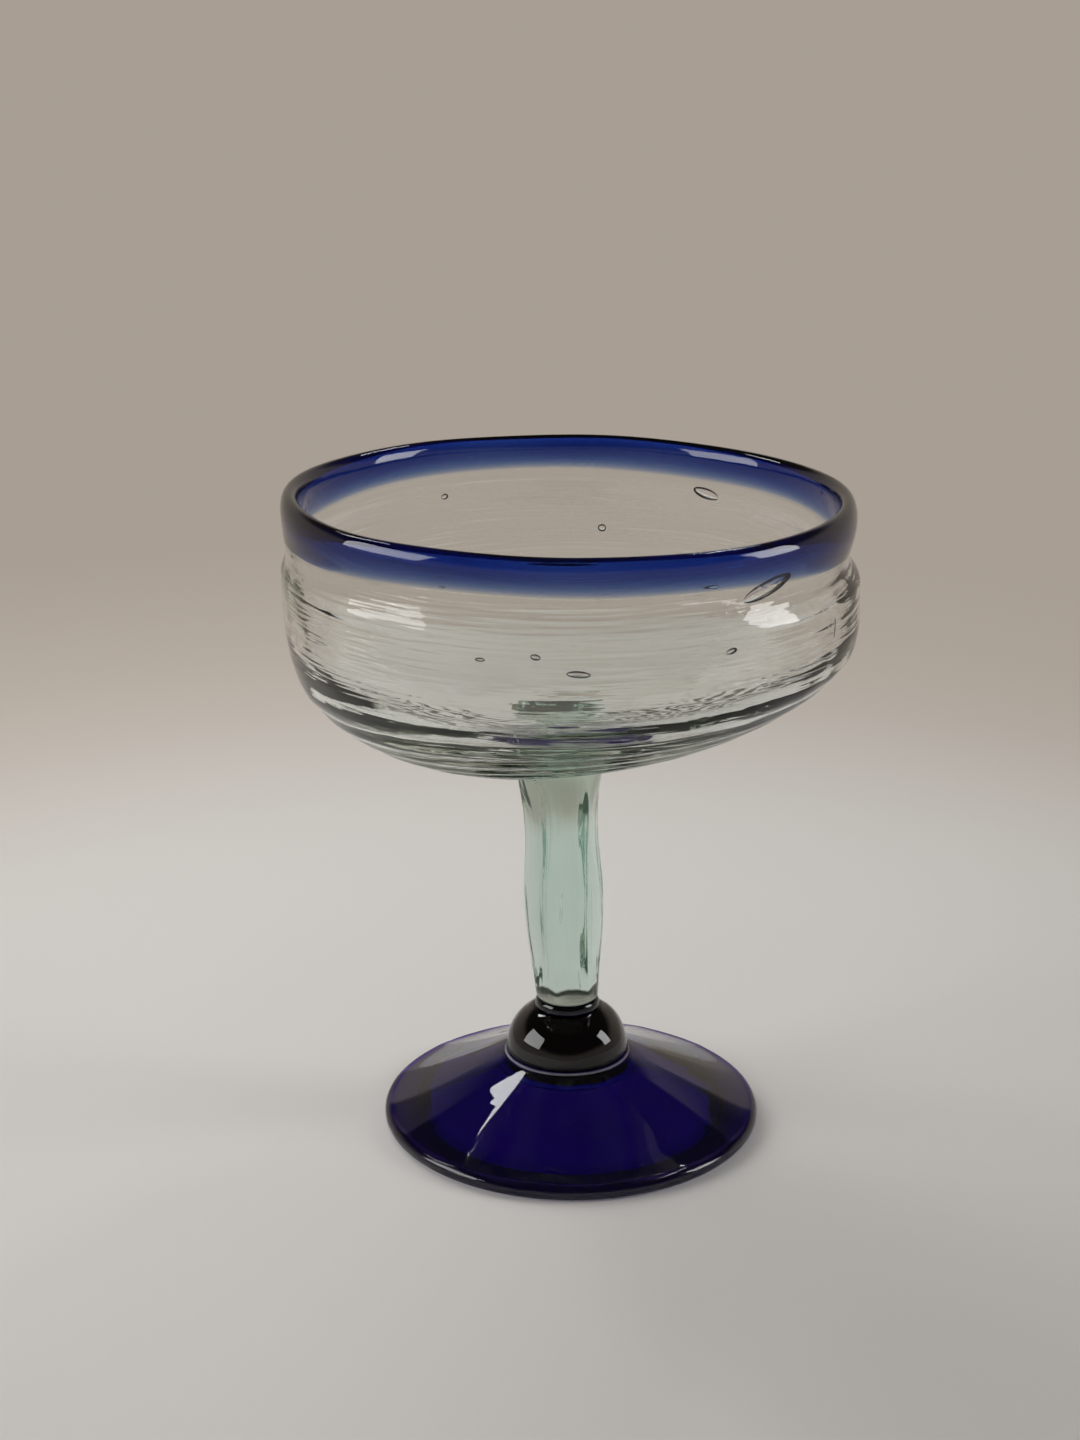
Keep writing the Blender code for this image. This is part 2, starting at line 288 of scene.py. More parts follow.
def eased(value, start, end):
    """A smooth rise from 0 at start to 1 at end."""
    share = np.clip((value - start) / (end - start), 0.0, 1.0)
    return share * share * (3.0 - 2.0 * share)


def arc(centre, radii, start, end, segments):
    """Points of an upright elliptical arc between two angles in degrees, 0 pointing outwards."""
    angles = np.radians(np.linspace(start, end, segments + 1))
    return list(zip(centre[0] + radii[0] * np.cos(angles), centre[1] + radii[1] * np.sin(angles)))


def blown_curve(radius, depth, level, start, end, segments):
    """The rounded underside of a blown bowl, below its widest level, between two angles in degrees."""
    angles = np.radians(np.linspace(start, end, segments + 1))
    power = 2.0 / BOWL_FULLNESS
    out = np.maximum(np.cos(angles), 0.0) ** power
    down = np.maximum(np.sin(angles), 0.0) ** power
    return list(zip(radius * out, level - depth * down))


def flat_end(radius, height, share=0.5):
    """Points of a piece's flat end, on its axis and part of the way out to a radius."""
    return [(0.0, height), (radius * share, height)]


def on_skin(points, skin):
    """Profile points with the skin that they lie on."""
    return [(float(radius), float(height), skin) for radius, height in points]


class Waves(NamedTuple):
    """Unevenness of worked glass: waves round a piece and up it, drawn from a fixed seed."""

    seed: int
    fewest_round: int
    most_round: int
    shortest: float
    longest: float
    size: float
    number: int = 12

    def at(self, angle, height):
        """How far they reach, about their size either way, at an angle round the piece and a height up it."""
        draw = np.random.default_rng(self.seed)
        total = 0.0
        for _ in range(self.number):
            turns = int(draw.integers(self.fewest_round, self.most_round + 1))
            upright = FULL_TURN / draw.uniform(self.shortest, self.longest)
            total = total + np.sin(turns * angle + upright * height + draw.uniform(0.0, FULL_TURN))
        return total / math.sqrt(2.0 * self.number) * self.size


# How far the skin of each piece stands proud, in metres
BOWL_CORDS = Waves(5, 0, 3, 0.0022, 0.0090, 0.000016)
BOWL_INNER_CORDS = Waves(9, 0, 4, 0.0030, 0.0120, 0.000020)
BOWL_SWELL = Waves(11, 1, 5, 0.020, 0.060, 0.00012)
LIP_SKIN = Waves(31, 2, 9, 0.012, 0.040, 0.00010)
STEM_CORDS = Waves(47, 12, 34, 0.030, 0.120, 0.000045, 16)
KNOP_SKIN = Waves(51, 1, 6, 0.008, 0.020, 0.00010)
FOOT_SKIN = Waves(63, 2, 7, 0.02, 0.06, 0.00006)
HOLLOW_SKIN = Waves(67, 1, 5, 0.01, 0.04, 0.00012)

# How far the rim and the cobalt's edge sag, and the tooling rings wander, in metres
RIM_SAG = Waves(73, 2, 6, 1.0, 2.0, 0.00030)
BAND_SAG = Waves(75, 2, 7, 1.0, 2.0, 0.00030)
RING_WANDER = Waves(21, 1, 4, 0.02, 0.05, 0.0010)

# How far the flats of stem and foot turn aside, in radians
FACET_WANDER = Waves(41, 0, 0, 0.020, 0.070, math.radians(5.0))
CREASE_WANDER = Waves(61, 1, 3, 0.03, 0.09, 0.06)

# How far the rim's radius, the tooling rings and the depth of the flats change, as a share
RIM_ROUNDNESS = Waves(71, 2, 4, 1.0, 2.0, 0.0016)
RING_SHARE = Waves(23, 0, 2, 0.006, 0.014, 0.45)
FACET_DEPTH = Waves(43, 1, 3, 0.020, 0.060, 0.30)
PRESS_DEPTH = Waves(65, 1, 4, 0.05, 0.12, 0.5)


def profile_normals(radius, height, closed):
    """Unit normals of a profile, to the left of its direction."""
    if closed:
        along_r = np.roll(radius, -1) - np.roll(radius, 1)
        along_z = np.roll(height, -1) - np.roll(height, 1)
    else:
        along_r = np.gradient(radius)
        along_z = np.gradient(height)
    size = np.maximum(np.hypot(along_r, along_z), 1e-12)
    return -along_z / size, along_r / size


class Gather:
    """A body of glass as it is worked: points, faces, and whether each face is fused and its finish."""

    def __init__(self, points, faces, fused, finish):
        self.points = points
        self.faces = faces
        self.fused = fused
        self.finish = finish

    def move(self, moved):
        """Move every point by a function of the x, y and z arrays."""
        self.points = np.stack(moved(*self.points.T), axis=1)

    def add_bubble(self, centre, half_sizes, turn):
        """Add a closed air bubble inside the glass. Its faces look into the air."""
        half_circle = on_skin(arc((0.0, 0.0), (1.0, 1.0), -90.0, 90.0, 14), OUTSIDE)
        bubble = turned(half_circle, BUBBLE_STEPS)
        points = (bubble.points * np.array(half_sizes)) @ np.array(turn).T + np.array(centre)
        first = len(self.points)
        self.faces += [[first + corner for corner in reversed(face)] for face in bubble.faces]
        self.fused += bubble.fused
        self.finish += bubble.finish
        self.points = np.concatenate((self.points, points))


def turned(profile, steps, closed=False, skin_waves=None):
    """A glass body turned from a profile of (radius, height, skin) points.

    A profile that isn't closed starts and ends on the axis. skin_waves gives how far each point of the skin
    stands proud, from its radius, height, angle and skin. A face between two points of a seam is fused.
    """
    radius, height, skin = (np.array(column) for column in zip(*profile))
    angle = np.arange(steps) * FULL_TURN / steps
    out, up = profile_normals(radius, height, closed)
    rise = np.zeros((len(profile), steps))
    if skin_waves:
        rise = rise + skin_waves(radius[:, None], height[:, None], angle[None, :], skin[:, None])
    rings_r = radius[:, None] + rise * out[:, None]
    rings_z = height[:, None] + rise * up[:, None]

    points = []
    rings = []
    on_axis = radius < 1e-7
    for index in range(len(profile)):
        first = len(points)
        if on_axis[index]:
            points.append((0.0, 0.0, rings_z[index].mean()))
            rings.append(np.full(steps, first))
        else:
            ring = (rings_r[index] * np.cos(angle), rings_r[index] * np.sin(angle), rings_z[index])
            points.extend(zip(*ring))
            rings.append(np.arange(first, first + steps))
    faces = []
    fused = []
    finish = []
    for index in range(len(profile) if closed else len(profile) - 1):
        after = (index + 1) % len(profile)
        corners = [rings[index], np.roll(rings[index], -1), np.roll(rings[after], -1), rings[after]]
        if on_axis[index]:
            corners.pop(1)
        elif on_axis[after]:
            corners.pop(2)
        faces += np.stack(corners, axis=1).tolist()
        fused += [float(skin[index] == SEAM and skin[after] == SEAM)] * steps
        finish += [int(skin[index] == CREVICE and skin[after] == CREVICE)] * steps
    points = np.array(points)
    if enclosed(points, faces) < 0.0:
        faces = [face[::-1] for face in faces]
    return Gather(points, faces, fused, finish)


def enclosed(points, faces):
    """Volume that faces enclose, below zero where they look inwards."""
    corners = np.array([face[:3] + [face[-1]] for face in faces])
    first, second, third, last = (points[corners[:, index]] for index in range(4))
    halves = np.cross(first, second) * third + np.cross(first, third) * last
    return halves.sum() / 6.0


def make_piece(name, body, materials):
    """Turn a body into a piece of the scene that stands for the frame's node of that name."""
    mesh = bpy.data.meshes.new(name)
    mesh.from_pydata(body.points.tolist(), [], body.faces)
    mesh.attributes.new("fused", "FLOAT", "FACE").data.foreach_set("value", body.fused)
    mesh.shade_smooth()
    mesh.set_sharp_from_angle(angle=CRISP_EDGE)
    for material in materials:
        mesh.materials.append(material)
    mesh.polygons.foreach_set("material_index", body.finish)
    if mesh.validate():
        raise RuntimeError(f"the mesh of {name} isn't sound")
    piece = bpy.data.objects.new(name + "_glass", mesh)
    bpy.context.scene.collection.objects.link(piece)
    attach(piece, "root")
    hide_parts(name)
    return piece


def stem_line(sizes, height):
    """Sideways place of the axis of foot, knop, collar and stem at a height above the ground."""
    along_stem = np.clip((height - sizes.stem_level) / sizes.stem_length, 0.0, 1.0)
    return KNOP_SHIFT * eased(height, sizes.foot_edge_height, sizes.foot_height) + STEM_LEAN * along_stem


def stem_slant(sizes, height):
    """Tilt of the stem's section, which turns to meet the slanted bowl at its head."""
    head = sizes.stem_level + sizes.stem_length
    return BOWL_SLANT * eased(height, head - STEM_SLANT_REACH, head)


def rim_top(sizes):
    """Height of the lip's top above the bowl's seat."""
    return sizes.bowl_depth + sizes.bowl_side + sizes.neck_height + sizes.lip_height


def bowl_line(sizes, height):
    """Sideways place of the axis of bowl and band at a height above the ground."""
    along_bowl = (height - sizes.bowl_level) / rim_top(sizes)
    return BOWL_BASE_SHIFT + (RIM_SHIFT - BOWL_BASE_SHIFT) * along_bowl


def bowl_slant(sizes, height):
    """Tilt of the bowl's section: steep at its seat, and slightly the other way from the upright side on."""
    turned_back = eased(height, sizes.bowl_level, sizes.bowl_level + SLANT_REACH)
    return BOWL_SLANT + (RIM_SLANT - BOWL_SLANT) * turned_back


def stand_on_stem_line(sizes, body, level):
    """Raise a level body to its seat and set it on the leaning axis of foot and stem."""
    def moved(x, y, z):
        z = z + level
        return x + stem_line(sizes, z), y, z
    body.move(moved)


def lean_bowl(sizes, body):
    """Set bowl or band on the bowl's leaning axis. The seat under the bowl stays on the stem's axis."""
    stem_axis = KNOP_SHIFT + STEM_LEAN
    head = sizes.stem_head_radius + sizes.stem_flare
    seat = bowl_seat_radius(sizes)
    top = rim_top(sizes)
    edge = top - sizes.band_height
    groove = top - sizes.lip_height

    def moved(x, y, z):
        angle = np.arctan2(y, x)
        into_groove = eased(z, groove - sizes.neck_height, groove)
        at_groove = into_groove * (1.0 - eased(z, groove, top - sizes.rim_crown))
        trailed = into_groove * (1.0 - eased(z, edge, top - EDGE_MARGIN))
        out_of_round = 1.0 + RIM_ROUNDNESS.at(angle, 0.0) * eased(z, ROUND_BELOW, top)
        droop = BAND_DROOP * np.cos(angle) ** 4
        sag = RIM_SAG.at(angle, 0.0) * eased(z, LEVEL_BELOW, top)
        sag = sag + (BAND_SAG.at(angle, 0.0) - droop) * trailed
        at_seat = (z < SEAT_SKIN) * (1.0 - eased(np.hypot(x, y), head, seat))
        x = x * out_of_round
        y = y * out_of_round
        z = z + sag + sizes.bowl_level
        line = bowl_line(sizes, z)
        x = x + line + (stem_axis - line) * at_seat + GROOVE_SHIFT * at_groove
        return x, y, z + bowl_slant(sizes, z) * x
    body.move(moved)


def bowl_seat_radius(sizes):
    """Radius of the flat under the bowl that the stem's head is fused to."""
    offset = abs(BOWL_BASE_SHIFT - KNOP_SHIFT - STEM_LEAN)
    return sizes.stem_head_radius + offset + SEAT_MARGIN


def lip_skin(sizes, height, inner):
    """Radius of the lip's outer or inner skin, between the groove and its widest level."""
    groove = rim_top(sizes) - sizes.lip_height
    widest = rim_top(sizes) - sizes.rim_crown
    at_groove = sizes.neck_radius - (sizes.bowl_wall if inner else 0.0)
    at_widest = sizes.rim_radius - (sizes.rim_thickness if inner else 0.0)
    return at_groove + (at_widest - at_groove) * eased(height, groove, widest)


def lip_seam(sizes):
    """Where cobalt meets clear glass: up from the outer skin to a ridge in the lip, and down to the inner."""
    edge = rim_top(sizes) - sizes.band_height
    ridge = rim_top(sizes) - sizes.band_root
    outer = lip_skin(sizes, edge, False)
    inner = lip_skin(sizes, edge, True)
    middle = (outer + inner) / 2.0
    points = []
    for share in np.linspace(0.0, 1.0, SEAM_STEPS + 1):
        points.append((outer + (middle - outer) * share ** SEAM_CURVE, edge + (ridge - edge) * share))
    for share in np.linspace(1.0, 0.0, SEAM_STEPS + 1)[1:]:
        points.append((inner + (middle - inner) * share ** SEAM_CURVE, edge + (ridge - edge) * share))
    return points


def empty_tree(holder):
    """Node tree of a new material or world, with nothing in it."""
    holder.use_nodes = True
    holder.node_tree.nodes.clear()
    return holder.node_tree


def add_node(tree, kind, settings=None, links=None):
    """Add a node, set its properties and sockets by name, and link sockets from (node, output) pairs."""
    node = tree.nodes.new("ShaderNode" + kind)
    for name, value in (settings or {}).items():
        if isinstance(name, str) and hasattr(node, name):
            setattr(node, name, value)
        else:
            node.inputs[name].default_value = value
    for name, (source, output) in (links or {}).items():
        tree.links.new(source.outputs[output], node.inputs[name])
    return node


def absorption(seen, depth):
    """Absorption colour and density per metre that leave a colour of white light after a depth of glass."""
    loss = [-math.log(max(channel, 1e-4)) / depth for channel in seen]
    density = max(loss)
    return tuple(1.0 - value / density for value in loss) + (1.0,), density


def per_metre(spacing_mm):
    """Scale of a pattern that repeats at a spacing in millimetres."""
    return 1000.0 / spacing_mm


def blown_glass(name, seen, depth, streak_mm, relief_mm, has_seam=False):
    """Glass that was blown and worked hot, clear or coloured in the mass.

    Its skin is fire-polished, so it is mirror-smooth but not true: soft cords run the way it was drawn, and
    lights and edges seen in it waver. streak_mm is the cords' spacing along x, y and z, and relief_mm their
    height. They come and go over CALM_MM. Where two pieces are fused, light goes straight on.
    """
    material = bpy.data.materials.new(name)
    tree = empty_tree(material)
    tint, density = absorption(seen, depth)
    place = add_node(tree, "TexCoord")
    scale = tuple(per_metre(spacing) for spacing in streak_mm)
    drawn = add_node(tree, "Mapping", {"Scale": scale}, {"Vector": (place, "Object")})
    cords = add_node(tree, "TexNoise", {"Scale": 1.0, "Detail": 2.0, "Roughness": 0.45},
                     {"Vector": (drawn, "Vector")})
    calm = add_node(tree, "TexNoise", {"Scale": per_metre(CALM_MM), "Detail": 1.0},
                    {"Vector": (place, "Object")})
    amount = add_node(tree, "MapRange", CALM_RANGE, {"Value": (calm, 0)})
    relief = add_node(tree, "Math", {"operation": "MULTIPLY"}, {0: (cords, 0), 1: (amount, "Result")})
    skin = add_node(tree, "Bump", {"Strength": 1.0, "Distance": relief_mm / 1000.0},
                    {"Height": (relief, "Value")})
    shader = add_node(tree, "BsdfPrincipled",
                      {"Base Color": (1.0, 1.0, 1.0, 1.0), "Roughness": 0.0, "IOR": GLASS_IOR,
                       "Transmission Weight": 1.0},
                      {"Normal": (skin, "Normal")})
    if has_seam:
        fused = add_node(tree, "Attribute", {"attribute_name": "fused"})
        bend = add_node(tree, "MapRange", {"To Min": GLASS_IOR, "To Max": 1.0}, {"Value": (fused, "Fac")})
        tree.links.new(bend.outputs["Result"], shader.inputs["IOR"])
    mass = add_node(tree, "VolumeAbsorption", {"Color": tint, "Density": density})
    add_node(tree, "OutputMaterial", None, {"Surface": (shader, "BSDF"), "Volume": (mass, "Volume")})
    return material


# Air bubbles in the bowl's wall: angle from the front in degrees, height above the seat, half length, half
# height and half depth in metres, and tilt in degrees
BOWL_BUBBLES = (
    (1.5, 0.0330, 0.0023, 0.0007, 0.0006, 4.0),
    (-6.2, 0.0362, 0.0010, 0.0006, 0.0005, 10.0),
    (-16.5, 0.0350, 0.0010, 0.0004, 0.0004, 0.0),
    (31.0, 0.0355, 0.0012, 0.0006, 0.0005, -12.0),
    (41.0, 0.0462, 0.0064, 0.0018, 0.0008, -16.0),
    (61.0, 0.0340, 0.0004, 0.0020, 0.0004, 6.0),
    (173.0, 0.0330, 0.0010, 0.0009, 0.0006, 0.0),
    (147.0, 0.0440, 0.0034, 0.0012, 0.0007, -10.0),
    (-150.0, 0.0420, 0.0009, 0.0007, 0.0005, 0.0),
    (-95.0, 0.0370, 0.0016, 0.0005, 0.0005, 5.0),
    (108.0, 0.0345, 0.0012, 0.0005, 0.0004, -4.0),
)


class COUPE_OT_bowl(bpy.types.Operator):
    """Blow the clear bowl, with its thick floor, tooling rings and bubbles"""

    bl_idname = "coupe.bowl"
    bl_label = "Bowl"

    def execute(self, context):
        sizes = context.scene.coupe_sizes
        seat = bowl_seat_radius(sizes)
        seat_share = (seat / sizes.bowl_radius) ** BOWL_FULLNESS
        outer_depth = sizes.bowl_depth / (1.0 - seat_share) ** (1.0 / BOWL_FULLNESS)
        seat_angle = math.degrees(math.acos(math.sqrt(seat_share)))
        inner = sizes.bowl_radius - sizes.bowl_wall
        side_top = sizes.bowl_depth + sizes.bowl_side
        groove = side_top + sizes.neck_height
        edge = rim_top(sizes) - sizes.band_height - sizes.seam

        rise = list(np.linspace(sizes.bowl_depth, side_top, 17))[1:]
        rise += list(np.linspace(side_top, groove, 15))[1:]
        rise += list(np.linspace(groove, edge, 9))[1:-1]

        def wall(height, inside):
            if height > groove:
                return lip_skin(sizes, height, inside)
            side = inner if inside else sizes.bowl_radius
            return side + (sizes.neck_radius - sizes.bowl_radius) * eased(height, side_top, groove)

        hollow = sizes.bowl_depth - sizes.bowl_floor
        profile = on_skin(blown_curve(inner, hollow, sizes.bowl_depth, 90.0, 0.0, CURVE_STEPS), INSIDE)
        profile[0] = (0.0, profile[0][1], INSIDE)
        profile += on_skin([(wall(height, True), height) for height in rise], INSIDE)
        seam = [(radius, height - sizes.seam) for radius, height in reversed(lip_seam(sizes))]
        profile += on_skin(seam, SEAM)
        profile += on_skin([(wall(height, False), height) for height in reversed(rise)], OUTSIDE)
        profile += on_skin(blown_curve(sizes.bowl_radius, outer_depth, sizes.bowl_depth, 0.0, seat_angle,
                                       CURVE_STEPS), OUTSIDE)
        head = sizes.stem_head_radius + sizes.stem_flare
        profile += on_skin([(radius, 0.0) for radius in np.linspace(seat, head, 5)[1:-1]], OUTSIDE)
        profile += on_skin([(head, 0.0), *reversed(flat_end(head, 0.0))], SEAM)

        def skin_waves(radius, height, angle, skin):
            clear_of_lip = 1.0 - eased(height, groove - GROOVE_REACH, edge - EDGE_MARGIN)
            off_seat = eased(radius, seat, seat + SEAT_SPREAD) * clear_of_lip
            cords = BOWL_CORDS.at(angle, height)
            inner_cords = BOWL_INNER_CORDS.at(angle, height)
            swell = BOWL_SWELL.at(angle, height)
            ringed = eased(radius, *RINGS_START) * (1.0 - eased(height, *RINGS_END))
            ringed = ringed * (1.0 + RING_SHARE.at(angle, height))
            ringed = ringed * (1.0 - RING_FADE * eased(np.sin(angle), *RING_FADE_SPAN))
            turns = (radius + RING_WANDER.at(angle, height)) / sizes.tool_ring_pitch
            rings = np.sin(FULL_TURN * turns) * sizes.tool_ring_depth * ringed
            chine = CHINE * eased(height, *CHINE_RISE) * (1.0 - eased(height, *CHINE_FALL))
            outer = (cords + rings + swell) * off_seat + chine
            inside = (inner_cords + swell * INNER_SWELL) * clear_of_lip * eased(radius, *FLOOR_CENTRE) - chine
            return np.where(skin == OUTSIDE, outer, np.where(skin == INSIDE, inside, 0.0))

        body = turned(profile, BOWL_STEPS, skin_waves=skin_waves)
        lean_bowl(sizes, body)
        for degrees, height, half_length, half_height, half_depth, tilt in BOWL_BUBBLES:
            angle = math.radians(degrees - 90.0)
            radius = (wall(height, True) + wall(height, False)) / 2.0
            x = radius * math.cos(angle) + bowl_line(sizes, height + sizes.bowl_level)
            z = height + sizes.bowl_level
            z += bowl_slant(sizes, z) * x
            turn = Matrix.Rotation(angle + math.pi / 2.0, 3, "Z")
            turn = turn @ Matrix.Rotation(math.radians(tilt), 3, "Y")
            body.add_bubble((x, radius * math.sin(angle), z), (half_length, half_depth, half_height), turn)
        colours = context.scene.coupe_colours
        material = blown_glass("recycled clear glass, blown", colours.bowl, colours.clear_depth,
                               streak_mm=(36.0, 36.0, 1.7), relief_mm=0.300, has_seam=True)
        make_piece("bowl", body, [material])
        return {"FINISHED"}


class COUPE_OT_rim_band(bpy.types.Operator):
    """Trail the cobalt lip round the bowl and melt it in"""

    bl_idname = "coupe.rim_band"
    bl_label = "Cobalt lip"

    def execute(self, context):
        sizes = context.scene.coupe_sizes
        edge = rim_top(sizes) - sizes.band_height
        widest = rim_top(sizes) - sizes.rim_crown
        heights = np.linspace(edge, widest, 9)[1:]
        middle = sizes.rim_radius - sizes.rim_thickness / 2.0
        crown = arc((middle, widest), (sizes.rim_thickness / 2.0, sizes.rim_crown), 0.0, 180.0, 32)

        profile = on_skin([(lip_skin(sizes, height, False), height) for height in heights], OUTSIDE)
        profile += on_skin(crown[1:-1], OUTSIDE)
        profile += on_skin([(lip_skin(sizes, height, True), height) for height in heights[::-1]], INSIDE)
        profile += on_skin(reversed(lip_seam(sizes)), SEAM)

        def skin_waves(radius, height, angle, skin):
            free = eased(height, edge + BAND_FEATHER, widest)
            return np.where(skin == SEAM, 0.0, LIP_SKIN.at(angle, height) * free)

        body = turned(profile, BOWL_STEPS, closed=True, skin_waves=skin_waves)
        lean_bowl(sizes, body)
        colours = context.scene.coupe_colours
        material = blown_glass("cobalt glass, trailed", colours.lip, colours.cobalt_depth,
                               streak_mm=(30.0, 30.0, 2.0), relief_mm=0.012, has_seam=True)
        make_piece("rim_band", body, [material])
        return {"FINISHED"}


def stem_radius(sizes, height):
    """Radius of the stem across its corners, at a height above its foot."""
    to_swell = np.sin(np.clip(height / sizes.stem_swell_height, 0.0, 1.0) * math.pi / 2.0)
    to_waist = eased(height, sizes.stem_swell_height, sizes.stem_waist_height)
    to_head = eased(height, sizes.stem_waist_height, sizes.stem_length)
    to_flare = eased(height, sizes.stem_length - FLARE_SPAN, sizes.stem_length) ** 2
    radius = sizes.stem_base_radius + (sizes.stem_swell_radius - sizes.stem_base_radius) * to_swell
    radius = radius + (sizes.stem_waist_radius - sizes.stem_swell_radius) * to_waist
    radius = radius + (sizes.stem_head_radius - sizes.stem_waist_radius) * to_head
    return radius + sizes.stem_flare * to_flare


# Thread-like bubbles in the stem: place across and along the view, height above its foot, half width and half
# length in metres, and tilt in degrees
STEM_BUBBLES = (
    (-0.0008, -0.0045, 0.0232, 0.00022, 0.0036, 3.0),
    (-0.0030, -0.0040, 0.0475, 0.00018, 0.0018, 0.0),
    (0.0026, -0.0035, 0.0060, 0.00020, 0.0024, -4.0),
    (-0.0052, -0.0020, 0.0545, 0.00040, 0.0005, 0.0),
    (-0.0043, -0.0034, 0.0525, 0.00030, 0.0004, 0.0),
    (0.0035, 0.0030, 0.0400, 0.00020, 0.0022, 5.0),
    (-0.0033, -0.0058, 0.0230, 0.00013, 0.0170, 0.5),
    (0.0047, -0.0048, 0.0260, 0.00016, 0.0150, -0.5),
    (0.0052, -0.0042, 0.0190, 0.00012, 0.0100, -1.5),
)


class COUPE_OT_stem(bpy.types.Operator):
    """Draw the solid stem and press its six soft flats"""

    bl_idname = "coupe.stem"
    bl_label = "Stem"

    def execute(self, context):
        sizes = context.scene.coupe_sizes
        top = sizes.bowl_level - sizes.stem_level - sizes.seam
        stretch = top / sizes.stem_length
        base = stem_radius(sizes, STEM_ROUND)
        turn = arc((base - STEM_ROUND, STEM_ROUND), (STEM_ROUND, STEM_ROUND), -90.0, 0.0, 8)
        profile = on_skin(flat_end(base, 0.0, share=0.45) + turn, OUTSIDE)
        for height in np.linspace(STEM_ROUND, sizes.stem_length, 97)[1:]:
            profile.append((float(stem_radius(sizes, height)), float(height * stretch), OUTSIDE))
        head = profile[-1][0]
        profile[-1] = (head, profile[-1][1], SEAM)
        profile += on_skin(reversed(flat_end(head, top)), SEAM)
        body = turned(profile, STEM_STEPS)
        facet = FULL_TURN / sizes.stem_facets

        def pressed(x, y, z):
            radius = np.hypot(x, y)
            angle = np.arctan2(y, x) + FACET_WANDER.at(0.0, z)
            depth = FACET_SHARE * eased(top - z, *FACET_END) * eased(z, *FACET_START)
            depth = depth * (1.0 + FACET_DEPTH.at(angle, z))
            factor = 0.0
            for shift in FACET_BLUR:
                from_flat = (angle + shift) % facet - facet / 2.0
                factor = factor + (math.cos(facet / 2.0) / np.cos(from_flat) - 1.0) / len(FACET_BLUR)
            drawn = STEM_CORDS.at(angle, z) * eased(radius, *STEM_SIDE) * eased(top - z, *STEM_CORDS_END)
            scale = 1.0 + depth * factor + drawn / np.maximum(radius, 1e-6)
            angle = np.arctan2(y, x) + FACET_TURN
            return radius * scale * np.cos(angle), radius * scale * np.sin(angle), z
        body.move(pressed)

        def moved(x, y, z):
            z = z + sizes.stem_level
            x = x + stem_line(sizes, z)
            return x, y, z + stem_slant(sizes, z) * x
        body.move(moved)
        for across, along, height, half_width, half_length, tilt in STEM_BUBBLES:
            z = height + sizes.stem_level
            turn = Matrix.Rotation(math.radians(tilt), 3, "Y")
            centre = (across + stem_line(sizes, z), along, z)
            body.add_bubble(centre, (half_width, half_width, half_length), turn)
        colours = context.scene.coupe_colours
        material = blown_glass("recycled sea-green glass, drawn", colours.stem, colours.clear_depth,
                               streak_mm=(1.0, 1.0, 30.0), relief_mm=0.030, has_seam=True)
        make_piece("stem", body, [material])
        return {"FINISHED"}


class COUPE_OT_stem_collar(bpy.types.Operator):
    """Wrap the thin cobalt collar under the stem"""

    bl_idname = "coupe.stem_collar"
    bl_label = "Collar"

    def execute(self, context):
        sizes = context.scene.coupe_sizes
        top = sizes.stem_level - sizes.collar_level - sizes.seam
        radius = sizes.collar_radius
        profile = on_skin(flat_end(radius, 0.0, share=0.6), OUTSIDE)
        edge = arc((radius - COLLAR_EDGE, COLLAR_EDGE), (COLLAR_EDGE, COLLAR_EDGE), -90.0, 0.0, 6)
        crown = arc((radius - COLLAR_CROWN, COLLAR_EDGE), (COLLAR_CROWN, top - COLLAR_EDGE), 0.0, 90.0, 10)
        profile += on_skin(edge + crown[1:], OUTSIDE)
        profile += on_skin(reversed(flat_end(radius, top)), OUTSIDE)
        body = turned(profile, COLLAR_STEPS)
        stand_on_stem_line(sizes, body, sizes.collar_level)
        colours = context.scene.coupe_colours
        material = blown_glass("cobalt glass, wrapped", colours.knop, colours.cobalt_depth,
                               streak_mm=(12.0, 12.0, 3.0), relief_mm=0.006)
        make_piece("stem_collar", body, [material])
        return {"FINISHED"}


class COUPE_OT_knop(bpy.types.Operator):
    """Shape the domed cobalt knop"""

    bl_idname = "coupe.knop"
    bl_label = "Knop"

    def execute(self, context):
        sizes = context.scene.coupe_sizes
        top = sizes.collar_level - sizes.knop_level - sizes.seam
        shoulder = sizes.collar_radius + KNOP_SHOULDER
        share = shoulder / sizes.knop_radius
        dome = (top - sizes.knop_belly) / math.sqrt(1.0 - share * share)
        profile = on_skin(flat_end(shoulder, top, share=0.6), OUTSIDE)
        profile += on_skin(arc((0.0, sizes.knop_belly), (sizes.knop_radius, dome),
                               math.degrees(math.acos(share)), 0.0, 40), OUTSIDE)
        profile += on_skin(arc((sizes.knop_radius - sizes.knop_tuck, sizes.knop_belly),
                               (sizes.knop_tuck, sizes.knop_belly), 0.0, -90.0, 8)[1:], OUTSIDE)
        profile += on_skin(reversed(flat_end(sizes.knop_radius, 0.0)), OUTSIDE)

        def skin_waves(radius, height, angle, skin):
            free = eased(height, *KNOP_SEAT_SPAN) * eased(top - height, *KNOP_TOP_SPAN)
            return KNOP_SKIN.at(angle, height) * free

        body = turned(profile, KNOP_STEPS, skin_waves=skin_waves)
        stand_on_stem_line(sizes, body, sizes.knop_level)
        colours = context.scene.coupe_colours
        material = blown_glass("cobalt glass, gathered", colours.knop, colours.cobalt_depth,
                               streak_mm=(9.0, 9.0, 4.0), relief_mm=0.012)
        make_piece("knop", body, [material])
        return {"FINISHED"}


